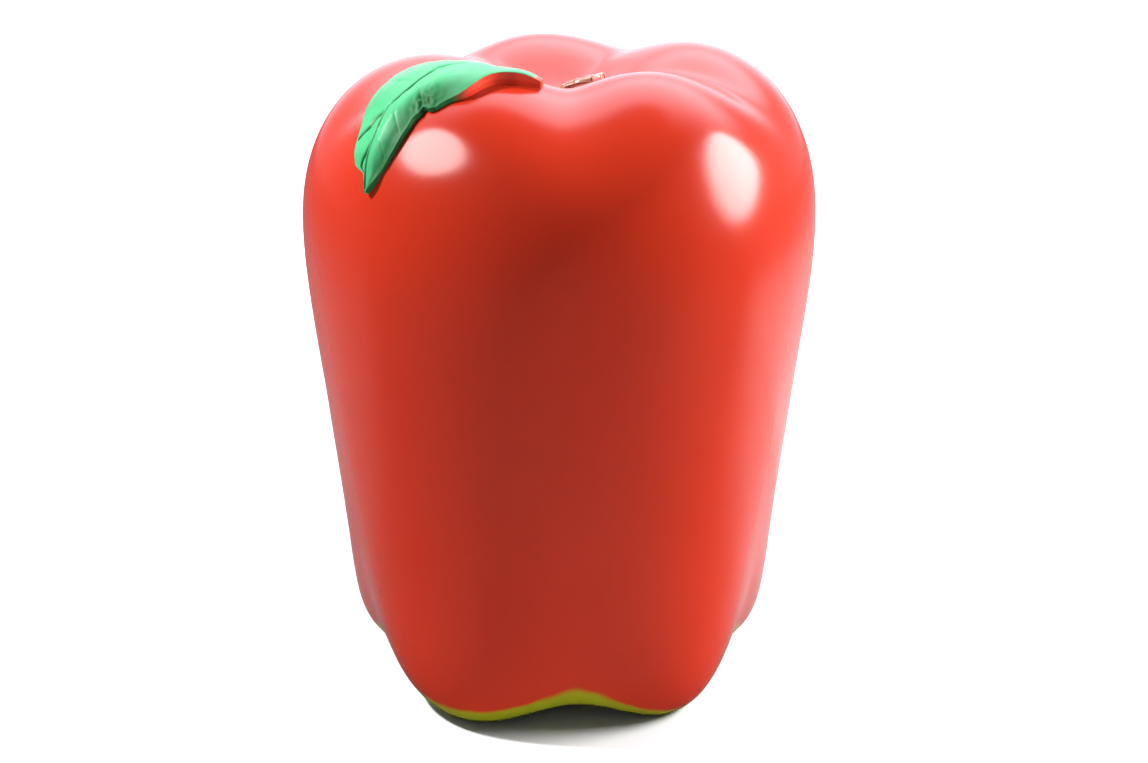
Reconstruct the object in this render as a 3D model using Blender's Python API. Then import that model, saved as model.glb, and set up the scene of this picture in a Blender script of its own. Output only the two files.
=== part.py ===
"""Oversized painted apple model: a tall five-lobed body, a leaf moulded on its shoulder and a stem in its hollow.

Metres, +Z up. The object stands on the five feet of its lobes, with the middle of its footprint at the origin.
Its front, where two lobes meet, faces -Y, and the leaf hangs towards -X.
"""

import math

import bmesh
import bpy
import numpy as np
from mathutils import Vector
from mathutils.bvhtree import BVHTree

# ---- driving dimensions -------------------------------------------------------------------------
HEIGHT = 0.46          # floor to the top of the highest lobe
LOBES = 5
FRONT = -90.0          # azimuth of the front, in degrees

# A lobe's crest and the groove beside it, each from the middle of the underside out, up and into the hollow:
# a point is (distance from the axis, height above the floor), as shares of HEIGHT, and each line is the B-spline
# of its points. The surface runs from one line to the other and back, five times round.
CREST = (
    (0.000, 0.100),
    (0.085, 0.073),
    (0.267, -0.024),
    (0.336, 0.017),
    (0.356, 0.101),
    (0.357, 0.263),
    (0.384, 0.522),
    (0.408, 0.724),
    (0.380, 0.874),
    (0.322, 0.964),
    (0.204, 1.008),
    (0.095, 0.962),
    (0.000, 0.915),
)
GROOVE = (
    (0.000, 0.100),
    (0.085, 0.082),
    (0.190, 0.050),
    (0.261, 0.015),
    (0.318, 0.062),
    (0.348, 0.262),
    (0.375, 0.522),
    (0.397, 0.724),
    (0.392, 0.855),
    (0.316, 0.938),
    (0.191, 0.983),
    (0.087, 0.955),
    (0.000, 0.9186),
)
GROOVE_ROUNDING = (0.25, 0.35, 0.30)   # at the underside, half way and in the hollow: 0 is a sharp groove
FIRST_LOBE = FRONT + 180.0 / LOBES + 3.7   # azimuth of the front right lobe's crest
LOBE_RISE = (-0.001, 0.010, 0.003, -0.010, -0.002)   # each lobe's extra height at the top
RISE_FADE = 0.12       # the extra height fades out within this radius, as a share of HEIGHT
LOBE_SWELL = (-0.004, 0.005, 0.001, -0.001, 0.001)   # each lobe's extra radius
UNEVEN_SPACING = (-0.070, 0.024, -0.055, -0.004)  # radians: cos, sin, cos 2 and sin 2 of the azimuth

BODY_SEGMENTS = 80
BODY_RINGS = 58

# The leaf's stations, root to tip. Each holds the right edge, midrib and left edge, as
# (azimuth in degrees, place along CREST, height above the bridged body as a share of HEIGHT).
LEAF = (
    ((-98.5, 9.90, 0.003), (-98.0, 10.00, 0.003), (-98.5, 10.10, 0.003)),
    ((-105.5, 9.80, 0.016), (-106.0, 10.02, 0.012), (-107.0, 10.18, 0.010)),
    ((-113.6, 9.64, 0.018), (-117.5, 10.02, 0.013), (-122.0, 10.27, 0.011)),
    ((-118.3, 9.20, 0.015), (-128.5, 9.91, 0.017), (-139.3, 10.28, 0.015)),
    ((-122.2, 8.93, 0.017), (-133.2, 9.58, 0.018), (-150.0, 10.11, 0.018)),
    ((-126.3, 8.82, 0.019), (-134.6, 9.20, 0.018), (-155.8, 9.77, 0.017)),
    ((-127.1, 8.65, 0.020), (-135.6, 8.86, 0.017), (-152.2, 9.25, 0.010)),
    ((-128.5, 8.39, 0.017), (-135.3, 8.54, 0.016), (-144.0, 8.65, 0.008)),
    ((-130.5, 8.14, 0.013), (-135.6, 8.24, 0.012), (-140.8, 8.25, 0.009)),
    ((-134.2, 7.87, 0.008), (-134.4, 7.86, 0.008), (-134.7, 7.86, 0.008)),
)
LEAF_BRIDGING = 0.45     # share of the groove's depth that the leaf's top follows
# Its cross-section, by the turn in degrees from the middle of the right side wall, over the top, to the left one:
LEAF_TURNS = (0.0, 15.0, 30.0, 150.0, 165.0, 180.0)
LEAF_SIDEWAYS = (1.0, 0.97, 0.86, -0.86, -0.97, -1.0)
LEAF_RISE = (0.5, 0.94, 1.0, 1.0, 0.94, 0.5)
LEAF_ACROSS = 24
LEAF_ALONG = 40
LEAF_GAP = 0.0005        # clearance between the leaf and the body's facets
LEAF_REACH = 0.05        # how far out the search for the facet under the leaf starts

# The stem's centre line from the hollow's floor to its cut end, as shares of HEIGHT, and its radii there.
STEM_LINE = (
    (0.000, 0.000, 0.9350),
    (0.002, -0.001, 0.942),
    (0.018, -0.009, 0.949),
    (0.036, -0.019, 0.9555),
    (0.052, -0.029, 0.961),
    (0.067, -0.036, 0.9635),
)
STEM_RADII = (0.0050, 0.0052, 0.0056, 0.0062, 0.0070, 0.0083)


# ---- the body's surface ---------------------------------------------------------------------------
def mirrored_ends(values, sign):
    """The control values with one more at each end, mirrored about the axis."""
    first = values[1] * sign
    last = values[-2] * sign
    return np.concatenate([[first], values, [last]])


def spline(values, place, sign=1.0):
    """Uniform cubic B-spline of the control values at a place from 0 to len(values) - 1."""
    padded = mirrored_ends(np.asarray(values, float), sign)
    start = np.clip(np.floor(place).astype(int), 0, len(values) - 2)
    f = place - start
    return (
        padded[start] * (1 - f) ** 3
        + padded[start + 1] * (3 * f**3 - 6 * f**2 + 4)
        + padded[start + 2] * (-3 * f**3 + 3 * f**2 + 3 * f + 1)
        + padded[start + 3] * f**3
    ) / 6


def lobe_fullness(angle, rounding):
    """1 on a lobe's crest and 0 in the groove beside it."""
    across = np.cos(LOBES * angle / 2) ** 2
    return (np.sqrt(across + rounding**2) - rounding) / (np.sqrt(1 + rounding**2) - rounding)


def lobe_blend(angle, per_lobe):
    """A value given for each lobe, blended smoothly from crest to crest."""
    total = 0.0
    weights = 0.0
    for k, value in enumerate(per_lobe):
        away = (angle - 2 * math.pi * k / LOBES + math.pi) % (2 * math.pi) - math.pi
        near = np.abs(away) < 2 * math.pi / LOBES
        weight = np.where(near, (1 + np.cos(away * LOBES / 2)) / 2, 0.0)
        total = total + weight * value
        weights = weights + weight
    return total / weights


def body_point(azimuth, place, groove_share=1.0):
    """Point of the body at an azimuth (radians) and a place along its lines, before the feet are flattened."""
    last = len(CREST) - 1
    rounding = np.interp(place, (0, (last + 1) / 2, last), GROOVE_ROUNDING)
    angle = azimuth - math.radians(FIRST_LOBE)
    emptiness = groove_share * (1 - lobe_fullness(angle, rounding))
    crest_r, groove_r = (spline([r for r, z in line], place, -1.0) for line in (CREST, GROOVE))
    crest_z, groove_z = (spline([z for r, z in line], place) for line in (CREST, GROOVE))
    r = crest_r + (groove_r - crest_r) * emptiness
    z = crest_z + (groove_z - crest_z) * emptiness
    rise = lobe_blend(angle, LOBE_RISE) * np.clip(2 * z - 1, 0, None) ** 2
    z = z + rise * np.minimum(r / RISE_FADE, 1.0)
    r = r * (1 + lobe_blend(angle, LOBE_SWELL))
    c1, s1, c2, s2 = UNEVEN_SPACING
    turned = (
        azimuth
        + c1 * np.cos(azimuth)
        + s1 * np.sin(azimuth)
        + c2 * np.cos(2 * azimuth)
        + s2 * np.sin(2 * azimuth)
    )
    return HEIGHT * np.stack([r * np.cos(turned), r * np.sin(turned), z], axis=-1)


def body_normal(azimuth, place, groove_share=1.0):
    """Outward normal of the body there."""
    step = 1e-3
    here = body_point(azimuth, place, groove_share)
    round_it = body_point(azimuth + step, place, groove_share) - here
    up_it = body_point(azimuth, place + step, groove_share) - here
    normal = np.cross(round_it, up_it)
    return normal / np.linalg.norm(normal, axis=-1, keepdims=True)


# ---- materials --------------------------------------------------------------------------------------
def paint(name, colour, roughness):
    """A plain painted finish."""
    material = bpy.data.materials.new(name)
    material.use_nodes = True
    shader = material.node_tree.nodes["Principled BSDF"]
    shader.inputs["Base Color"].default_value = (*colour, 1.0)
    shader.inputs["Roughness"].default_value = roughness
    shader.inputs["Metallic"].default_value = 0.0
    return material


def add_mesh(name, bm, material, collection):
    """Turns a bmesh into an object of the collection, shaded smooth."""
    mesh = bpy.data.meshes.new(name)
    bm.to_mesh(mesh)
    bm.free()
    mesh.shade_smooth()
    mesh.materials.append(material)
    piece = bpy.data.objects.new(name, mesh)
    collection.objects.link(piece)
    return piece


# ---- the pieces ---------------------------------------------------------------------------------------
def sphere_angles(bm):
    """Each vertex's turn about Z and its share of the way from the south pole to the north."""
    points = np.array([v.co for v in bm.verts])
    turn = np.arctan2(points[:, 1], points[:, 0])
    share = 1 - np.arccos(np.clip(points[:, 2], -1, 1)) / math.pi
    return turn, share


def move_vertices(bm, points):
    for vertex, point in zip(bm.verts, points):
        vertex.co = Vector(point)


def make_body(collection):
    """A sphere whose meridians follow the lobes and grooves, with the five feet flat on the floor."""
    bm = bmesh.new()
    bmesh.ops.create_uvsphere(bm, u_segments=BODY_SEGMENTS, v_segments=BODY_RINGS, radius=1.0)
    azimuth, share = sphere_angles(bm)
    points = body_point(azimuth, share * (len(CREST) - 1))
    points[:, 2] = np.maximum(points[:, 2], 0.0)
    move_vertices(bm, points)
    return add_mesh("apple_body", bm, paint("body_red_paint", (0.60, 0.035, 0.02), 0.32), collection)


def leaf_track(side, column, u):
    """One column of LEAF along one of its three lines, as a smooth curve through the stations."""
    values = np.array([station[side][column] for station in LEAF])
    last = len(values) - 1
    place = np.clip(u, 0, 1) * last
    start = np.clip(np.floor(place).astype(int), 0, last - 1)
    f = place - start
    before = values[np.maximum(start - 1, 0)]
    here = values[start]
    after = values[start + 1]
    beyond = values[np.minimum(start + 2, last)]
    return 0.5 * (
        2 * here
        + (after - before) * f
        + (2 * before - 5 * here + 4 * after - beyond) * f**2
        + (3 * here - before - 3 * after + beyond) * f**3
    )


def leaf_place(u, v):
    """Azimuth, place along CREST and height of the leaf's top at u from root to tip and v from -1 (left) to 1."""
    found = []
    for column in range(3):
        right = leaf_track(0, column, u)
        middle = leaf_track(1, column, u)
        left = leaf_track(2, column, u)
        found.append(middle + np.where(v > 0, (right - middle) * v, (middle - left) * v))
    return np.radians(found[0]), found[1], found[2] * HEIGHT


def seat_on(body, azimuth, place):
    """The points just clear of the body's facets, under each place on its smooth surface."""
    tree = BVHTree.FromPolygons(
        [v.co for v in body.data.vertices],
        [tuple(face.vertices) for face in body.data.polygons],
    )
    seats = []
    for point, normal in zip(body_point(azimuth, place), body_normal(azimuth, place)):
        outward = Vector(normal)
        facet, _, _, _ = tree.ray_cast(Vector(point) + outward * LEAF_REACH, -outward)
        seats.append(facet + outward * LEAF_GAP)
    return np.array(seats)


def make_leaf(collection, body):
    """A closed slab whose top bridges the groove and whose underside follows the body with a clearance."""
    bm = bmesh.new()
    bmesh.ops.create_uvsphere(bm, u_segments=LEAF_ACROSS, v_segments=LEAF_ALONG, radius=1.0)
    turn, u = sphere_angles(bm)
    degrees = np.degrees(np.abs(turn))
    sideways = np.interp(degrees, LEAF_TURNS, LEAF_SIDEWAYS)
    rise = np.interp(degrees, LEAF_TURNS, LEAF_RISE)
    is_end = (u < 1e-6) | (u > 1 - 1e-6)
    v = np.where(is_end, 0.0, sideways)
    upper = np.where(is_end, 0.5, np.where(turn < 0, 1 - rise, rise))
    azimuth, place, height = leaf_place(u, v)
    top = body_point(azimuth, place, LEAF_BRIDGING)
    top = top + body_normal(azimuth, place, LEAF_BRIDGING) * height[:, None]
    seat = seat_on(body, azimuth, place)
    move_vertices(bm, seat + (top - seat) * upper[:, None])
    return add_mesh("leaf", bm, paint("leaf_green_paint", (0.05, 0.38, 0.14), 0.30), collection)


def make_stem(collection):
    """A rod that thickens towards its cut end and leans to the right and a little forward."""
    curve = bpy.data.curves.new("stem", "CURVE")
    curve.dimensions = "3D"
    curve.bevel_depth = HEIGHT
    curve.bevel_resolution = 4
    curve.resolution_u = 6
    curve.use_fill_caps = True
    line = curve.splines.new("NURBS")
    line.points.add(len(STEM_LINE) - 1)
    for point, place, radius in zip(line.points, STEM_LINE, STEM_RADII):
        point.co = (*(HEIGHT * share for share in place), 1.0)
        point.radius = radius
    line.use_endpoint_u = True
    line.order_u = 4
    rod = bpy.data.objects.new("stem", curve)
    rod.data.materials.append(paint("stem_brown_paint", (0.23, 0.08, 0.03), 0.35))
    collection.objects.link(rod)
    return rod


def centre_footprint(body, others):
    """Moves every piece sideways so that the middle of the body's box is over the origin."""
    points = np.array([v.co for v in body.data.vertices])
    middle = (points.min(axis=0) + points.max(axis=0)) / 2
    for piece in (body, *others):
        piece.location = (-middle[0], -middle[1], 0.0)


def main():
    for old in list(bpy.data.objects):
        bpy.data.objects.remove(old, do_unlink=True)
    collection = bpy.data.collections.new("apple_model")
    bpy.context.scene.collection.children.link(collection)
    body = make_body(collection)
    leaf = make_leaf(collection, body)
    stem = make_stem(collection)
    centre_footprint(body, (leaf, stem))


main()
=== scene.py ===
"""Looks of the oversized painted apple model: its paint, its veined leaf and its stem.

The shapes repeat the part's own formulas in body heights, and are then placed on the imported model's box.
"""

import math

import bmesh
import bpy
import numpy as np
from mathutils import Matrix, Quaternion, Vector, noise


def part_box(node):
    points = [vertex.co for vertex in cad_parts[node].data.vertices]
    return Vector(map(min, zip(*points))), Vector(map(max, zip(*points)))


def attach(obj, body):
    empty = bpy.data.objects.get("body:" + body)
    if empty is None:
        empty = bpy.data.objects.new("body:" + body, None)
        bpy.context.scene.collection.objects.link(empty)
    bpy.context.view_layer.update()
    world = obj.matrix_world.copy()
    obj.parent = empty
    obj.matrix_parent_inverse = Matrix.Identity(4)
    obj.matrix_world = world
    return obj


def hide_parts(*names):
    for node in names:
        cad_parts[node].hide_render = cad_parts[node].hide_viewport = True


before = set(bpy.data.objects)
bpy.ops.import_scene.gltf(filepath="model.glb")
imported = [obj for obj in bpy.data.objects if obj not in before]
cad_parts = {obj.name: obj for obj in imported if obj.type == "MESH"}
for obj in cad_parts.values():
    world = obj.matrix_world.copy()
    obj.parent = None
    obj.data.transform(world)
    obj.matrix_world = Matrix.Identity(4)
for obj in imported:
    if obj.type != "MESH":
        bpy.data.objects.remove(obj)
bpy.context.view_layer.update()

# ---- the body's lines, in body heights -----------------------------------------------------------
LOBES = 5
FRONT = -90.0
CREST = (
    (0.000, 0.100),
    (0.085, 0.073),
    (0.267, -0.024),
    (0.336, 0.017),
    (0.356, 0.101),
    (0.357, 0.263),
    (0.384, 0.522),
    (0.408, 0.724),
    (0.380, 0.874),
    (0.322, 0.964),
    (0.204, 1.008),
    (0.095, 0.962),
    (0.000, 0.915),
)
GROOVE = (
    (0.000, 0.100),
    (0.085, 0.082),
    (0.190, 0.050),
    (0.261, 0.015),
    (0.318, 0.062),
    (0.348, 0.262),
    (0.375, 0.522),
    (0.397, 0.724),
    (0.392, 0.855),
    (0.316, 0.938),
    (0.191, 0.983),
    (0.087, 0.955),
    (0.000, 0.9186),
)
GROOVE_ROUNDING = (0.25, 0.35, 0.30)
FIRST_LOBE = FRONT + 180.0 / LOBES + 3.7
LOBE_RISE = (-0.001, 0.010, 0.003, -0.010, -0.002)
RISE_FADE = 0.12
LOBE_SWELL = (-0.004, 0.005, 0.001, -0.001, 0.001)
UNEVEN_SPACING = (-0.070, 0.024, -0.055, -0.004)
LAST_PLACE = len(CREST) - 1
BODY_SEGMENTS = 360
BODY_RINGS = 260

BODY_UNEVENNESS = 0.0007     # the sculpted form's slow bumps, in body heights
BODY_BUMPS = 7.0             # of those bumps in one body height
FINER_BUMPS = 2.3            # times as many of the finer bumps
FINER_SHARE = 0.4            # of the slow bumps' height

# The underside's yellow-green begins at this place along the lines, on each lobe and in the grooves.
UNDERSIDE_ON_LOBES = (2.94, 2.80, 2.9, 2.80, 3.19)
UNDERSIDE_IN_GROOVE = 3.94

# ---- the leaf and the stem, as in the part -------------------------------------------------------
LEAF = (
    ((-98.5, 9.90, 0.003), (-98.0, 10.00, 0.003), (-98.5, 10.10, 0.003)),
    ((-105.5, 9.80, 0.016), (-106.0, 10.02, 0.012), (-107.0, 10.18, 0.010)),
    ((-113.6, 9.64, 0.018), (-117.5, 10.02, 0.013), (-122.0, 10.27, 0.011)),
    ((-118.3, 9.20, 0.015), (-128.5, 9.91, 0.017), (-139.3, 10.28, 0.015)),
    ((-122.2, 8.93, 0.017), (-133.2, 9.58, 0.018), (-150.0, 10.11, 0.018)),
    ((-126.3, 8.82, 0.019), (-134.6, 9.20, 0.018), (-155.8, 9.77, 0.017)),
    ((-127.1, 8.65, 0.020), (-135.6, 8.86, 0.017), (-152.2, 9.25, 0.010)),
    ((-128.5, 8.39, 0.017), (-135.3, 8.54, 0.016), (-144.0, 8.65, 0.008)),
    ((-130.5, 8.14, 0.013), (-135.6, 8.24, 0.012), (-140.8, 8.25, 0.009)),
    ((-134.2, 7.87, 0.008), (-134.4, 7.86, 0.008), (-134.7, 7.86, 0.008)),
)
LEAF_BRIDGING = 0.45
LEAF_TURNS = (0.0, 15.0, 30.0, 150.0, 165.0, 180.0)
LEAF_SIDEWAYS = (1.0, 0.97, 0.86, -0.86, -0.97, -1.0)
LEAF_RISE = (0.5, 0.94, 1.0, 1.0, 0.94, 0.5)
LEAF_ALONG = 330
LEAF_ACROSS = 252
LEAF_SUNK = 0.002            # how far the moulded leaf's underside reaches into the body
LEAF_LENGTH = 0.37
LEAF_HALF_WIDTH = 0.075
LEAF_RELIEF_FROM = (0.1, 0.25)        # the relief fades in along this stretch from the root
LEAF_BUMPS = ((0.0013, 22.0), (0.0005, 60.0))     # height of the top's bumps, and how many

# The lines in the leaf's top. Each is the places (u, v) along it, its height and its half width.
# A height below 0 is an engraved line.
LEAF_LINES = (
    (((0.34, -0.06), (0.42, -0.02), (0.53, 0.06), (0.64, 0.02)), -0.0034, 0.0028),
    (((0.63, 0.00), (0.72, 0.03), (0.83, 0.05), (0.97, 0.08)), 0.0024, 0.0032),
    (((0.69, -0.04), (0.77, -0.36), (0.83, -0.88)), -0.0030, 0.0026),
    (((0.83, -0.02), (0.88, -0.14), (0.93, -0.50)), -0.0032, 0.0034),
    (((0.52, -0.03), (0.59, -0.42), (0.64, -0.86)), -0.0007, 0.0030),
    (((0.36, -0.10), (0.43, -0.48), (0.48, -0.84)), -0.0005, 0.0030),
    (((0.60, 0.08), (0.66, 0.45), (0.71, 0.84)), -0.0005, 0.0030),
    (((0.74, 0.10), (0.80, 0.48), (0.85, 0.82)), -0.0005, 0.0028),
    (((0.41, -0.60), (0.43, 0.00), (0.42, 0.55)), 0.0011, 0.0050),
    (((0.26, -0.70), (0.29, -0.20), (0.29, 0.40)), 0.0010, 0.0060),
)
CRUMPLE_PLACE = (0.475, 0.80)
CRUMPLE_REACH = (0.060, 0.24)
CRUMPLE_HEIGHT = 0.0042
CRUMPLE_BUMPS = 95.0
DENT_PLACE = 0.505           # where the right edge steps in beside the crumpled spot
DENT_REACH = 0.022
DENT_DEPTH = 0.12            # share of the right half's width
ROLL_FROM = (0.28, 0.40)     # the right edge starts to roll down here, and stops along the next stretch
ROLL_TO = (0.90, 0.98)
ROLL_DEPTH = 0.55            # share of the leaf's height that it loses at the rolled edge
ROLL_DRAWN_IN = 0.13         # share of the right half's width
ROLL_ACROSS = (0.30, 1.0)
NOTCH_FROM = 0.918           # where the left edge steps in before the tip
NOTCH_TO = 0.940
NOTCH_DEPTH = 0.80           # share of the half width

STEM_LINE = (
    (0.000, 0.000, 0.9350),
    (0.002, -0.001, 0.942),
    (0.018, -0.009, 0.949),
    (0.036, -0.019, 0.9555),
    (0.052, -0.029, 0.961),
    (0.067, -0.036, 0.9635),
)
STEM_RADII = (0.0050, 0.0052, 0.0056, 0.0062, 0.0070, 0.0083)
# The stem's outline from its hidden end to the middle of the cut, as share of the rings, place along
# the line and radius.
STEM_OUTLINE = (
    (0.00, 0.00, 0.00),
    (0.04, 0.00, 1.00),
    (0.66, 0.86, 1.05),
    (0.70, 0.88, 0.86),
    (0.73, 0.90, 0.98),
    (0.80, 0.98, 1.10),
    (0.85, 1.00, 1.02),
    (0.88, 1.00, 0.84),
    (0.91, 0.985, 0.70),
    (1.00, 0.975, 0.00),
)
STEM_CUT = (0.70, 0.73)      # share of the rings where the bark gives way to the cut end
STEM_RIDGES = (5, 5.0, 0.05)          # how many run along it, how they twist, and their height
STEM_FINE_RIDGES = (9, -8.0, 0.03)
STEM_KNUCKLE = (0.52, 0.05, 0.10)     # its place along the stem, its reach and its height
STEM_ROUGHNESS = (0.05, 130.0)        # height of the bark's bumps, and how many
STEM_SEGMENTS = 72
STEM_RINGS = 150

# ---- the view ------------------------------------------------------------------------------------
VIEW_ELEVATION = 20.14
VIEW_ROLL = 0.201
VIEW_DISTANCE = 2.562     # body heights, to the point looked at
VIEW_TARGET = (0.0242, 0.0, 0.4679)
LENS = 49.52
SENSOR_WIDTH = 36.0

# ---- the floor, the room and the lights ----------------------------------------------------------
# The floor as the object mirrors it: none on the viewer's side, more towards the back and the right.
FLOOR_DARK_FROM = -0.20       # metres
FLOOR_LIT_FROM = 0.10
FLOOR_MIRRORED = 0.34
FLOOR_LEFT = 0.36             # share of that on the left
FLOOR_RIGHT = 0.88
FLOOR_SIDES_FROM = 0.3        # metres to either side where those shares are reached
FLOOR_BOUNCED = 0.80          # how pale it is for the light that it throws back on the object
FLOOR_SHOWN = 0.60            # how pale the camera sees it, before the glow further out
FLOOR_GLOW = (0.35, 1.1)      # metres from the middle where the glow begins and is full
FLOOR_HALF_SIZE = 20.0

ROOM_BEHIND = (-0.1, 0.6)     # the room brightens over this stretch of Y, towards the back
ROOM_HORIZON = (1.9, 0.40)    # its level near the horizon, straight behind and to the sides
ROOM_HORIZON_SIDES = (0.25, 0.60)
ROOM_RAISED = (0.40, 0.64)
ROOM_RAISED_LEVEL = 4.5
ROOM_OVERHEAD = (0.89, 0.96)
ROOM_OVERHEAD_SHARE = 0.12
ROOM_SIDEWAYS = (0.7, 1.2)    # left and right
ROOM_SIDES_FROM = 0.8
ROOM_DIFFUSE_SHARE = 0.78     # of the room's light, for what it throws on a matt surface
ROOM_MIRRORED_LEAST = 0.03    # the room's least level, mirrored and thrown
ROOM_DIFFUSE_LEAST = 0.20
ROOM_TINT = (0.95, 0.98, 1.12, 1.0)

# Some lights are only mirrored and the others only throw light. Each has its azimuth from the front
# towards the right, elevation, roll, width and height in metres, power, and the rays that miss it.
LIGHT_DISTANCE = 1.3
LIT_MIDDLE = (0.0, 0.0, 0.75)
LIGHTS = (
    ("soft_box_left", -68, 41, 0, (0.80, 0.70), 31, "visible_diffuse"),
    ("soft_box_right", 86, 22, -32, (0.62, 0.92), 34, "visible_diffuse"),
    ("lamp_left", -84, 44, 0, (0.12, 0.12), 43, "visible_glossy"),
    ("lamp_right", 87, 24, 0, (0.60, 0.60), 50, "visible_glossy"),
)


# ---- the body's surface --------------------------------------------------------------------------
def spline(values, place, sign=1.0):
    """Uniform cubic B-spline of the control values, mirrored about the axis at both ends."""
    values = np.asarray(values, float)
    padded = np.concatenate([[values[1] * sign], values, [values[-2] * sign]])
    start = np.clip(np.floor(place).astype(int), 0, len(values) - 2)
    f = place - start
    return (
        padded[start] * (1 - f) ** 3
        + padded[start + 1] * (3 * f**3 - 6 * f**2 + 4)
        + padded[start + 2] * (-3 * f**3 + 3 * f**2 + 3 * f + 1)
        + padded[start + 3] * f**3
    ) / 6


def lobe_fullness(angle, rounding):
    """1 on a lobe's crest and 0 in the groove beside it."""
    across = np.cos(LOBES * angle / 2) ** 2
    return (np.sqrt(across + rounding**2) - rounding) / (np.sqrt(1 + rounding**2) - rounding)


def lobe_blend(angle, per_lobe):
    """A value given for each lobe, blended smoothly from crest to crest."""
    total = 0.0
    weights = 0.0
    for k, value in enumerate(per_lobe):
        away = (angle - 2 * math.pi * k / LOBES + math.pi) % (2 * math.pi) - math.pi
        near = np.abs(away) < 2 * math.pi / LOBES
        weight = np.where(near, (1 + np.cos(away * LOBES / 2)) / 2, 0.0)
        total = total + weight * value
        weights = weights + weight
    return total / weights


def body_point(azimuth, place, groove_share=1.0):
    """Point of the body, in body heights, at an azimuth (radians) and a place along its lines."""
    rounding = np.interp(place, (0, (LAST_PLACE + 1) / 2, LAST_PLACE), GROOVE_ROUNDING)
    angle = azimuth - math.radians(FIRST_LOBE)
    emptiness = groove_share * (1 - lobe_fullness(angle, rounding))
    crest_r, groove_r = (spline([r for r, z in line], place, -1.0) for line in (CREST, GROOVE))
    crest_z, groove_z = (spline([z for r, z in line], place) for line in (CREST, GROOVE))
    r = crest_r + (groove_r - crest_r) * emptiness
    z = crest_z + (groove_z - crest_z) * emptiness
    rise = lobe_blend(angle, LOBE_RISE) * np.clip(2 * z - 1, 0, None) ** 2
    z = z + rise * np.minimum(r / RISE_FADE, 1.0)
    r = r * (1 + lobe_blend(angle, LOBE_SWELL))
    c1, s1, c2, s2 = UNEVEN_SPACING
    turned = (
        azimuth
        + c1 * np.cos(azimuth)
        + s1 * np.sin(azimuth)
        + c2 * np.cos(2 * azimuth)
        + s2 * np.sin(2 * azimuth)
    )
    return np.stack([r * np.cos(turned), r * np.sin(turned), z], axis=-1)


def body_normal(azimuth, place, groove_share=1.0):
    """Outward normal of the body there."""
    step = 1e-3
    here = body_point(azimuth, place, groove_share)
    round_it = body_point(azimuth + step, place, groove_share) - here
    up_it = body_point(azimuth, place + step, groove_share) - here
    normal = np.cross(round_it, up_it)
    return normal / np.linalg.norm(normal, axis=-1, keepdims=True)


# ---- numbers -------------------------------------------------------------------------------------
def smooth_step(value, low, high):
    share = np.clip((value - low) / (high - low), 0, 1)
    return share * share * (3 - 2 * share)


def unevenness(points, bumps):
    """Smooth noise from about -1 to 1 at each point, with this many bumps in one body height."""
    return np.array([noise.noise(Vector(point)) for point in points * bumps])


def clamped_spline(values, share):
    """Clamped uniform cubic B-spline of the control values, at a share of its way."""
    spans = len(values) - 3
    knots = np.concatenate([np.zeros(3), np.arange(spans + 1), np.full(3, spans)])
    place = np.clip(share, 0, 1 - 1e-9) * spans
    weights = [((low <= place) & (place < high)) * 1.0 for low, high in zip(knots, knots[1:])]
    for degree in (1, 2, 3):
        weights = [
            weights[k] * knot_share(place, knots[k], knots[k + degree])
            + weights[k + 1] * (1 - knot_share(place, knots[k + 1], knots[k + degree + 1]))
            for k in range(len(weights) - 1)
        ]
    return sum(np.multiply.outer(weight, np.asarray(value)) for weight, value in zip(weights, values))


def knot_share(place, low, high):
    return (place - low) / (high - low) if high > low else 0.0


# ---- mesh helpers --------------------------------------------------------------------------------
def sphere_angles(bm):
    """Each vertex's turn about Z and its share of the way from the south pole to the north."""
    points = np.array([v.co for v in bm.verts])
    turn = np.arctan2(points[:, 1], points[:, 0])
    share = 1 - np.arccos(np.clip(points[:, 2], -1, 1)) / math.pi
    return turn, share


def sphere_object(name, segments, rings, shape):
    """A closed smooth mesh: shape(turn, share) gives a sphere's vertices their points and attributes."""
    bm = bmesh.new()
    bmesh.ops.create_uvsphere(bm, u_segments=segments, v_segments=rings, radius=1.0)
    points, attributes = shape(*sphere_angles(bm))
    mesh = bpy.data.meshes.new(name)
    bm.to_mesh(mesh)
    bm.free()
    mesh.vertices.foreach_set("co", points.astype(np.float32).ravel())
    for label, values in attributes.items():
        attribute = mesh.attributes.new(label, "FLOAT", "POINT")
        attribute.data.foreach_set("value", values.astype(np.float32))
    mesh.update()
    mesh.shade_smooth()
    piece = bpy.data.objects.new(name, mesh)
    bpy.context.scene.collection.objects.link(piece)
    return piece


class Placing:
    """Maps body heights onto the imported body's box."""

    def __init__(self, unit_points):
        low, high = (np.array(corner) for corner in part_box("apple_body"))
        self.unit_low = unit_points.min(axis=0)
        self.scale = (high - low) / (unit_points.max(axis=0) - self.unit_low)
        self.low = low

    def __call__(self, unit_points):
        return self.low + (np.asarray(unit_points) - self.unit_low) * self.scale

    @property
    def height(self):
        """Metres in one body height."""
        return float(self.scale[2])


def body_shape(turn, share):
    """The body's points in body heights, feet flattened, and how far each lies into the underside's paint."""
    place = share * LAST_PLACE
    points = body_point(turn, place)
    uneven = unevenness(points, BODY_BUMPS)
    uneven = uneven + FINER_SHARE * unevenness(points, FINER_BUMPS * BODY_BUMPS)
    points = points + body_normal(turn, place) * (BODY_UNEVENNESS * uneven)[:, None]
    points[:, 2] = np.maximum(points[:, 2], 0.0)
    angle = turn - math.radians(FIRST_LOBE)
    on_lobe = lobe_blend(angle, UNDERSIDE_ON_LOBES)
    emptiness = 1 - lobe_fullness(angle, GROOVE_ROUNDING[1])
    edge = on_lobe + (UNDERSIDE_IN_GROOVE - on_lobe) * emptiness
    return points, {"underside": edge - place, "place": place}


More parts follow.
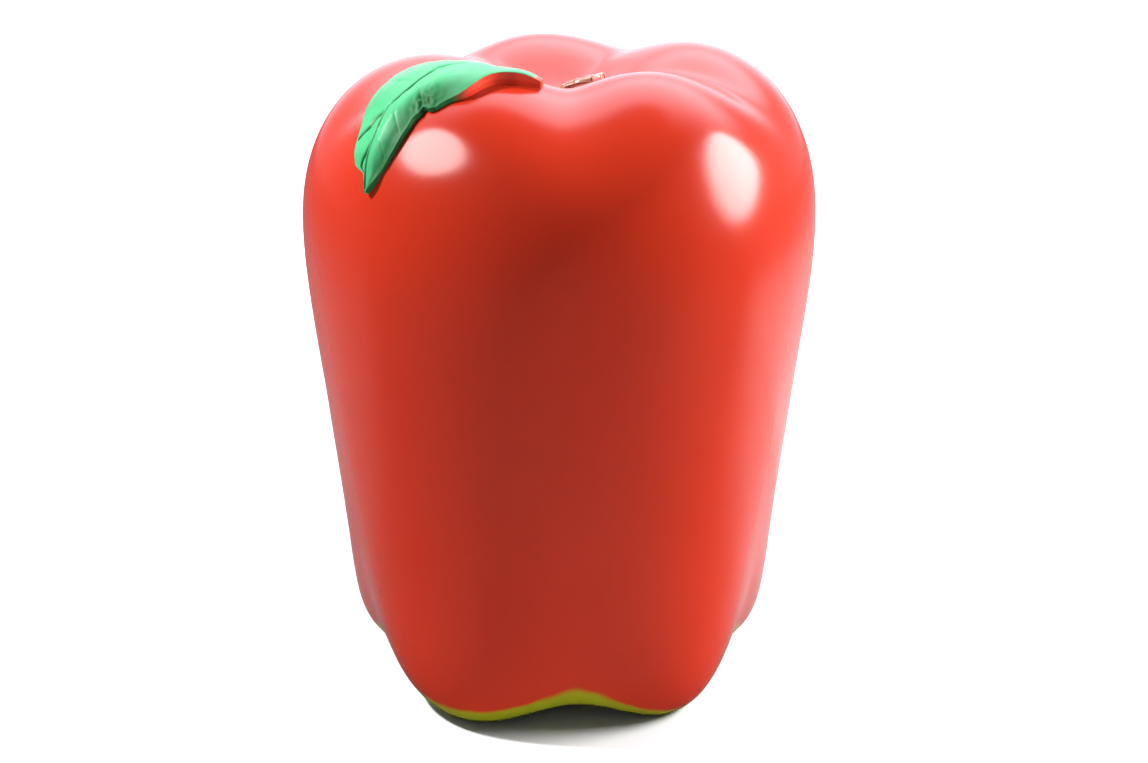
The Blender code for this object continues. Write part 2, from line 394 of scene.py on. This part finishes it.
# ---- the leaf ------------------------------------------------------------------------------------
def leaf_track(side, column, u):
    """One column of LEAF along one of its three lines, as a smooth curve through the stations."""
    values = np.array([station[side][column] for station in LEAF])
    last = len(values) - 1
    place = np.clip(u, 0, 1) * last
    start = np.clip(np.floor(place).astype(int), 0, last - 1)
    f = place - start
    before = values[np.maximum(start - 1, 0)]
    here = values[start]
    after = values[start + 1]
    beyond = values[np.minimum(start + 2, last)]
    return 0.5 * (
        2 * here
        + (after - before) * f
        + (2 * before - 5 * here + 4 * after - beyond) * f**2
        + (3 * here - before - 3 * after + beyond) * f**3
    )


def leaf_place(u, v):
    """Azimuth, place and height of the leaf's top: u runs from root to tip, v from -1 (left) to 1."""
    found = []
    for column in range(3):
        right = leaf_track(0, column, u)
        middle = leaf_track(1, column, u)
        left = leaf_track(2, column, u)
        found.append(middle + np.where(v > 0, (right - middle) * v, (middle - left) * v))
    return np.radians(found[0]), found[1], found[2]


def line_distance(u, v, line):
    """Distance on the leaf, in body heights, from each place to the nearest of a line's."""
    nearest = np.full(u.shape, np.inf)
    size = np.array((LEAF_LENGTH, LEAF_HALF_WIDTH))
    here = np.stack([u, v], axis=-1) * size
    for first, last in zip(np.array(line[:-1]) * size, np.array(line[1:]) * size):
        run = last - first
        share = np.clip((here - first) @ run / (run @ run), 0, 1)
        away = here - first - share[:, None] * run
        nearest = np.minimum(nearest, np.linalg.norm(away, axis=-1))
    return nearest


def crumpling(u, v):
    """1 in the middle of the crumpled spot at the leaf's right edge, falling to 0 around it."""
    along = (u - CRUMPLE_PLACE[0]) / CRUMPLE_REACH[0]
    across = (v - CRUMPLE_PLACE[1]) / CRUMPLE_REACH[1]
    return np.exp(-(along**2 + across**2))


def leaf_relief(u, v):
    """Height of the leaf's veins, creases and crumpled spot above its smooth top, in body heights."""
    relief = np.zeros_like(u)
    for line, height, half_width in LEAF_LINES:
        relief += height * np.exp(-((line_distance(u, v, line) / half_width) ** 2))
    flat = np.stack([u * LEAF_LENGTH, v * LEAF_HALF_WIDTH, np.zeros_like(u)], axis=-1)
    relief += CRUMPLE_HEIGHT * crumpling(u, v) * unevenness(flat, CRUMPLE_BUMPS)
    for height, bumps in LEAF_BUMPS:
        relief = relief + height * unevenness(flat, bumps)
    return relief


def leaf_sides(u, v):
    """v, drawn in at the notch on the left and at the crumpled spot on the right."""
    notch = 1 - NOTCH_DEPTH * smooth_step(u, NOTCH_FROM, NOTCH_TO)
    dent = 1 - DENT_DEPTH * np.exp(-(((u - DENT_PLACE) / DENT_REACH) ** 2))
    drawn_in = 1 - ROLL_DRAWN_IN * rolled_stretch(u)
    return v * np.where(v < 0, notch, dent * drawn_in)


def rolled_stretch(u):
    """1 along the stretch whose right edge rolls down to the body, and 0 at the root and the tip."""
    return smooth_step(u, *ROLL_FROM) * (1 - smooth_step(u, *ROLL_TO))


def leaf_shape(turn, share):
    """The leaf's points in body heights, and for its paint where each lies and how it is shaped."""
    u = share
    degrees = np.degrees(np.abs(turn))
    is_end = (u < 1e-6) | (u > 1 - 1e-6)
    v = np.where(is_end, 0.0, np.interp(degrees, LEAF_TURNS, LEAF_SIDEWAYS))
    rise = np.interp(degrees, LEAF_TURNS, LEAF_RISE)
    upper = np.where(is_end, 0.5, np.where(turn < 0, 1 - rise, rise))
    relief = leaf_relief(u, v) * smooth_step(upper, 0.8, 1.0) * smooth_step(u, *LEAF_RELIEF_FROM)
    azimuth, place, height = leaf_place(u, leaf_sides(u, v))
    rolled = 1 - ROLL_DEPTH * smooth_step(v, *ROLL_ACROSS) * rolled_stretch(u)
    top = body_point(azimuth, place, LEAF_BRIDGING)
    top = top + body_normal(azimuth, place, LEAF_BRIDGING) * (height * rolled + relief)[:, None]
    seat = body_point(azimuth, place) - body_normal(azimuth, place) * LEAF_SUNK
    points = seat + (top - seat) * upper[:, None]
    shown = {"rise": upper, "across": v, "along": u, "relief": relief * 1000, "crumpled": crumpling(u, v)}
    return points, shown


# ---- the stem ------------------------------------------------------------------------------------
def stem_shape(turn, share):
    """The stem's points in body heights: lengthwise ridges, a knuckle and a flared cut end with a lip."""
    shares, places, widths = np.array(STEM_OUTLINE).T
    along = np.interp(share, shares, places)
    middle = clamped_spline(STEM_LINE, along)
    step = 0.01
    further = np.minimum(along + step, 1.0)
    ahead = clamped_spline(STEM_LINE, further)
    behind = clamped_spline(STEM_LINE, further - 2 * step)
    forward = (ahead - behind) / np.linalg.norm(ahead - behind, axis=-1, keepdims=True)
    first = np.cross(forward, (0.0, 1.0, 0.0))
    first /= np.linalg.norm(first, axis=-1, keepdims=True)
    second = np.cross(forward, first)
    on_cut = smooth_step(share, *STEM_CUT)
    outward = first * np.cos(turn)[:, None] + second * np.sin(turn)[:, None]
    ridges = 0.0
    for count, twist, height in (STEM_RIDGES, STEM_FINE_RIDGES):
        ridges = ridges + height * np.sin(count * turn + twist * along)
    place, reach, height = STEM_KNUCKLE
    knuckle = height * np.exp(-(((along - place) / reach) ** 2))
    height, bumps = STEM_ROUGHNESS
    rough = height * unevenness(middle + 0.01 * outward, bumps)
    width = clamped_spline(STEM_RADII, along) * np.interp(share, shares, widths)
    width = width * (1 + (ridges + knuckle) * (1 - on_cut) + rough)
    return middle + outward * width[:, None], {"along": along, "cut": on_cut, "ridges": ridges * 20}


# ---- materials -----------------------------------------------------------------------------------
class Nodes:
    """A node tree, with short calls for the nodes that the paints and the room need."""

    def __init__(self, tree):
        self.tree = tree

    def add(self, kind, inputs=None, **settings):
        node = self.tree.nodes.new(kind)
        for key, value in settings.items():
            setattr(node, key, value)
        for key, value in (inputs or {}).items():
            self.feed(node.inputs[key], value)
        return node

    def feed(self, socket, value):
        if isinstance(value, bpy.types.NodeSocket):
            self.tree.links.new(value, socket)
        else:
            socket.default_value = value

    def attribute(self, name):
        return self.add("ShaderNodeAttribute", attribute_name=name).outputs["Fac"]

    def noise(self, scale, detail):
        where = self.add("ShaderNodeTexCoord").outputs["Object"]
        inputs = {"Vector": where, "Scale": scale, "Detail": detail}
        return self.add("ShaderNodeTexNoise", inputs).outputs["Fac"]

    def ramp(self, value, low, high, to_low=0.0, to_high=1.0, smooth=True):
        inputs = {"Value": value, "From Min": low, "From Max": high, "To Min": to_low, "To Max": to_high}
        kind = "SMOOTHSTEP" if smooth else "LINEAR"
        return self.add("ShaderNodeMapRange", inputs, interpolation_type=kind).outputs["Result"]

    def math(self, operation, a, b=0.0):
        node = self.add("ShaderNodeMath", operation=operation)
        self.feed(node.inputs[0], a)
        self.feed(node.inputs[1], b)
        return node.outputs[0]

    def mix(self, share, a, b):
        node = self.add("ShaderNodeMix", data_type="RGBA")
        self.feed(node.inputs["Factor"], share)
        self.feed(node.inputs["A"], a)
        self.feed(node.inputs["B"], b)
        return node.outputs["Result"]

    def bump(self, height, distance, strength):
        inputs = {"Height": height, "Distance": distance, "Strength": strength}
        return self.add("ShaderNodeBump", inputs).outputs["Normal"]


class Paint(Nodes):
    """A material with one shader."""

    def __init__(self, name):
        self.material = bpy.data.materials.new(name)
        self.material.use_nodes = True
        super().__init__(self.material.node_tree)
        self.shader = self.tree.nodes["Principled BSDF"]

    def finish(self, **sockets):
        """Feeds the shader's sockets, named with _ for spaces, and returns the material."""
        for key, value in sockets.items():
            self.feed(self.shader.inputs[key.replace("_", " ")], value)
        return self.material


def rgb(red, green, blue):
    return (red, green, blue, 1.0)


def body_paint():
    """Red gloss, sprayed to yellow-green underneath, and scuffed where the feet stand."""
    n = Paint("body_paint")
    cloudy = n.ramp(n.noise(5.0, 3.0), 0.35, 0.65)
    red = n.mix(cloudy, rgb(0.285, 0.0160, 0.0052), rgb(0.305, 0.0176, 0.0060))
    olive = n.mix(cloudy, rgb(0.155, 0.166, 0.0045), rgb(0.180, 0.185, 0.0065))
    mist = n.math("MULTIPLY", n.noise(60.0, 5.0), 0.16)
    depth = n.math("ADD", n.attribute("underside"), mist)
    colour = n.mix(n.ramp(depth, 0.0, 0.16), red, olive)
    foot = n.ramp(n.attribute("place"), 1.7, 2.5, 1.0, 0.0)
    scuffs = n.math("MULTIPLY", foot, n.ramp(n.noise(140.0, 4.0), 0.56, 0.62))
    colour = n.mix(scuffs, colour, rgb(0.30, 0.29, 0.24))
    nibs = n.ramp(n.noise(900.0, 0.0), 0.76, 0.82)
    colour = n.mix(n.math("MULTIPLY", nibs, 0.25), colour, rgb(0.15, 0.009, 0.004))
    peel = n.bump(n.noise(160.0, 2.0), 0.0002, 0.10)
    rough = n.ramp(n.noise(9.0, 2.0), 0.3, 0.7, 0.165, 0.20, False)
    rough = n.math("ADD", rough, n.math("MULTIPLY", scuffs, 0.3))
    return n.finish(Base_Color=colour, Roughness=rough, Normal=peel, IOR=1.36)


def leaf_paint():
    """Green gloss with painted shade in the engraved lines, the crumpled spot and the rolled edge, over side
    walls that are red like the body and painted paler as painted light.
    """
    n = Paint("leaf_paint")
    cloudy = n.ramp(n.noise(22.0, 3.0), 0.35, 0.65)
    green = n.mix(cloudy, rgb(0.030, 0.225, 0.088), rgb(0.042, 0.275, 0.112))
    # Painted shade: the engraved lines are darkened towards deep green.
    engraved = n.ramp(n.attribute("relief"), -0.6, -2.6)
    green = n.mix(engraved, green, rgb(0.004, 0.07, 0.010))
    # Painted shade: the crumpled spot is darkened towards near-black green.
    green = n.mix(n.attribute("crumpled"), green, rgb(0.003, 0.045, 0.008))
    along = n.attribute("along")
    # Painted shade: the right edge is darkened where it rolls down to the body.
    rolled = n.math("MULTIPLY", n.ramp(n.attribute("across"), 0.38, 0.80), n.ramp(along, 0.25, 0.40))
    green = n.mix(n.math("MULTIPLY", rolled, 0.85), green, rgb(0.005, 0.075, 0.013))
    waver = n.math("MULTIPLY", n.noise(70.0, 3.0), 0.10)
    low = n.ramp(n.math("ADD", n.attribute("rise"), waver), 0.93, 1.0, 1.0, 0.0)
    near_root = n.ramp(n.math("ADD", along, waver), 0.34, 0.42, 1.0, 0.0)
    at_root = n.ramp(along, 0.035, 0.060, 1.0, 0.0)
    wall = n.math("MAXIMUM", n.math("MULTIPLY", low, near_root), at_root)
    # The side walls are red like the body, but painted paler than the body's red as painted light where they
    # face the front.
    colour = n.mix(wall, green, rgb(0.460, 0.0320, 0.0135))
    strokes = n.bump(n.noise(190.0, 3.0), 0.0003, 0.22)
    rough = n.ramp(n.noise(45.0, 4.0), 0.3, 0.7, 0.28, 0.38, False)
    worn = n.math("MAXIMUM", rolled, n.attribute("crumpled"))
    rough = n.math("ADD", rough, n.math("MULTIPLY", worn, 0.16))
    return n.finish(Base_Color=colour, Roughness=rough, Normal=strokes, IOR=1.29)


def stem_paint():
    """Brown under a clear coat, with paler streaks along it and a pinkish tan cut end."""
    n = Paint("stem_paint")
    streaks = n.ramp(n.math("ADD", n.attribute("ridges"), n.noise(260.0, 4.0)), -0.4, 1.6)
    brown = n.mix(streaks, rgb(0.13, 0.038, 0.016), rgb(0.36, 0.160, 0.070))
    tan = n.mix(n.ramp(n.noise(420.0, 3.0), 0.35, 0.65), rgb(0.50, 0.130, 0.110), rgb(0.62, 0.230, 0.190))
    colour = n.mix(n.attribute("cut"), brown, tan)
    bark = n.bump(n.noise(380.0, 4.0), 0.0004, 0.5)
    rough = n.ramp(n.noise(120.0, 3.0), 0.3, 0.7, 0.18, 0.36, False)
    coat = {"Coat_Weight": 0.8, "Coat_Roughness": 0.12}
    return n.finish(Base_Color=colour, Roughness=rough, Normal=bark, **coat)


# ---- the pieces ----------------------------------------------------------------------------------
def add_piece(piece, node, material):
    piece.data.materials.append(material)
    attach(piece, "root")
    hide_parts(node)


def points_of(piece):
    points = np.empty(len(piece.data.vertices) * 3, np.float32)
    piece.data.vertices.foreach_get("co", points)
    return points.reshape(-1, 3).astype(float)


def make_body():
    body = sphere_object("painted_body", BODY_SEGMENTS, BODY_RINGS, body_shape)
    placing = Placing(points_of(body))
    move_to(body, placing)
    add_piece(body, "apple_body", body_paint())
    return placing


def move_to(piece, placing):
    """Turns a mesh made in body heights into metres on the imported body."""
    points = placing(points_of(piece))
    piece.data.vertices.foreach_set("co", points.astype(np.float32).ravel())
    piece.data.update()


def make_leaf(placing):
    leaf = sphere_object("moulded_leaf", LEAF_ACROSS, LEAF_ALONG, leaf_shape)
    move_to(leaf, placing)
    add_piece(leaf, "leaf", leaf_paint())


def make_stem(placing):
    stem = sphere_object("short_stem", STEM_SEGMENTS, STEM_RINGS, stem_shape)
    move_to(stem, placing)
    add_piece(stem, "stem", stem_paint())


# ---- the studio ----------------------------------------------------------------------------------
def make_camera(placing):
    """The camera looks down on the front, turned a little about its own axis."""
    elevation = math.radians(VIEW_ELEVATION)
    roll = math.radians(VIEW_ROLL)
    back = Vector((0.0, -math.cos(elevation), math.sin(elevation)))
    right = Vector((1.0, 0.0, 0.0))
    up = back.cross(right)
    across = right * math.cos(roll) + up * math.sin(roll)
    camera = bpy.data.objects.new("camera", bpy.data.cameras.new("camera"))
    camera.data.lens = LENS
    camera.data.sensor_width = SENSOR_WIDTH
    target = Vector(placing(VIEW_TARGET))
    axes = Matrix((across, back.cross(across), back)).transposed().to_4x4()
    camera.matrix_world = Matrix.Translation(target + back * VIEW_DISTANCE * placing.height) @ axes
    bpy.context.scene.collection.objects.link(camera)
    bpy.context.scene.camera = camera


def make_light(name, azimuth, elevation, roll, size, power, missed_by, target):
    """An oval light that faces the target."""
    azimuth = math.radians(FRONT + azimuth)
    elevation = math.radians(elevation)
    level = math.cos(elevation)
    way = Vector((math.cos(azimuth) * level, math.sin(azimuth) * level, math.sin(elevation)))
    light = bpy.data.objects.new(name, bpy.data.lights.new(name, "AREA"))
    light.data.shape = "ELLIPSE"
    light.data.size, light.data.size_y = size
    light.data.energy = power
    light.location = target + way * LIGHT_DISTANCE
    turned = Quaternion((0.0, 0.0, 1.0), math.radians(roll))
    light.rotation_euler = (way.to_track_quat("Z", "Y") @ turned).to_euler()
    light.visible_camera = False
    setattr(light, missed_by, False)
    bpy.context.scene.collection.objects.link(light)


def floor_paper():
    """Pale paper, dark to the object's mirrored view of the near side, and glowing to white further out."""
    n = Paint("floor_paper")
    rays = n.add("ShaderNodeLightPath").outputs
    where = n.add("ShaderNodeNewGeometry").outputs["Position"]
    place = n.add("ShaderNodeSeparateXYZ", {0: where}).outputs
    mirrored = n.ramp(place["Y"], FLOOR_DARK_FROM, FLOOR_LIT_FROM, 0.0, FLOOR_MIRRORED)
    sides = n.ramp(place["X"], -FLOOR_SIDES_FROM, FLOOR_SIDES_FROM, FLOOR_LEFT, FLOOR_RIGHT)
    mirrored = n.math("MULTIPLY", mirrored, sides)
    bounced = n.math("MULTIPLY", rays["Is Diffuse Ray"], FLOOR_BOUNCED)
    shown = n.math("MULTIPLY", rays["Is Camera Ray"], FLOOR_SHOWN)
    pale = n.math("MAXIMUM", n.math("MAXIMUM", mirrored, bounced), shown)
    colour = n.mix(pale, rgb(0.0, 0.0, 0.0), rgb(1.0, 1.0, 1.0))
    reach = n.add("ShaderNodeVectorMath", {0: where}, operation="LENGTH").outputs["Value"]
    glow = n.math("MULTIPLY", n.ramp(reach, *FLOOR_GLOW), rays["Is Camera Ray"])
    glowing = {"Emission_Color": rgb(1.0, 1.0, 1.0), "Emission_Strength": glow}
    return n.finish(Base_Color=colour, Roughness=0.9, Specular_IOR_Level=0.1, **glowing)


def make_floor():
    bm = bmesh.new()
    bmesh.ops.create_grid(bm, x_segments=1, y_segments=1, size=FLOOR_HALF_SIZE)
    mesh = bpy.data.meshes.new("floor")
    bm.to_mesh(mesh)
    bm.free()
    floor = bpy.data.objects.new("floor", mesh)
    bpy.context.scene.collection.objects.link(floor)
    floor.data.materials.append(floor_paper())


def make_world():
    """A bright pale room behind the object and a dim one on the viewer's side. The camera sees it white."""
    world = bpy.data.worlds.new("studio")
    bpy.context.scene.world = world
    world.use_nodes = True
    world.cycles.sampling_method = "NONE"
    n = Nodes(world.node_tree)
    where = n.add("ShaderNodeTexCoord").outputs["Generated"]
    x, y, z = n.add("ShaderNodeSeparateXYZ", {0: where}).outputs
    rays = n.add("ShaderNodeLightPath").outputs
    horizon = n.ramp(n.math("ABSOLUTE", x), *ROOM_HORIZON_SIDES, *ROOM_HORIZON)
    raised = n.ramp(z, *ROOM_RAISED)
    low = n.math("MULTIPLY", n.math("SUBTRACT", 1.0, raised), horizon)
    level = n.math("ADD", n.math("MULTIPLY", raised, ROOM_RAISED_LEVEL), low)
    level = n.math("MULTIPLY", n.ramp(y, *ROOM_BEHIND), level)
    overhead = n.ramp(z, *ROOM_OVERHEAD, 1.0, ROOM_OVERHEAD_SHARE)
    sideways = n.ramp(x, -ROOM_SIDES_FROM, ROOM_SIDES_FROM, *ROOM_SIDEWAYS)
    light = n.math("MULTIPLY", level, n.math("MULTIPLY", overhead, sideways))
    thrown = rays["Is Diffuse Ray"]
    light = n.math("MULTIPLY", light, n.ramp(thrown, 0.0, 1.0, 1.0, ROOM_DIFFUSE_SHARE))
    light = n.math("ADD", light, n.ramp(thrown, 0.0, 1.0, ROOM_MIRRORED_LEAST, ROOM_DIFFUSE_LEAST))
    unseen = n.math("SUBTRACT", 1.0, rays["Is Camera Ray"])
    shown = n.math("ADD", n.math("MULTIPLY", light, unseen), rays["Is Camera Ray"])
    background = n.tree.nodes["Background"]
    n.feed(background.inputs["Strength"], shown)
    n.feed(background.inputs["Color"], n.mix(unseen, rgb(1.0, 1.0, 1.0), ROOM_TINT))


def make_studio(placing):
    scene = bpy.context.scene
    scene.view_settings.view_transform = "Standard"
    make_camera(placing)
    make_floor()
    make_world()
    middle = Vector(placing(LIT_MIDDLE))
    for light in LIGHTS:
        make_light(*light, middle)


# ---- all of it -----------------------------------------------------------------------------------
placing = make_body()
make_leaf(placing)
make_stem(placing)
make_studio(placing)
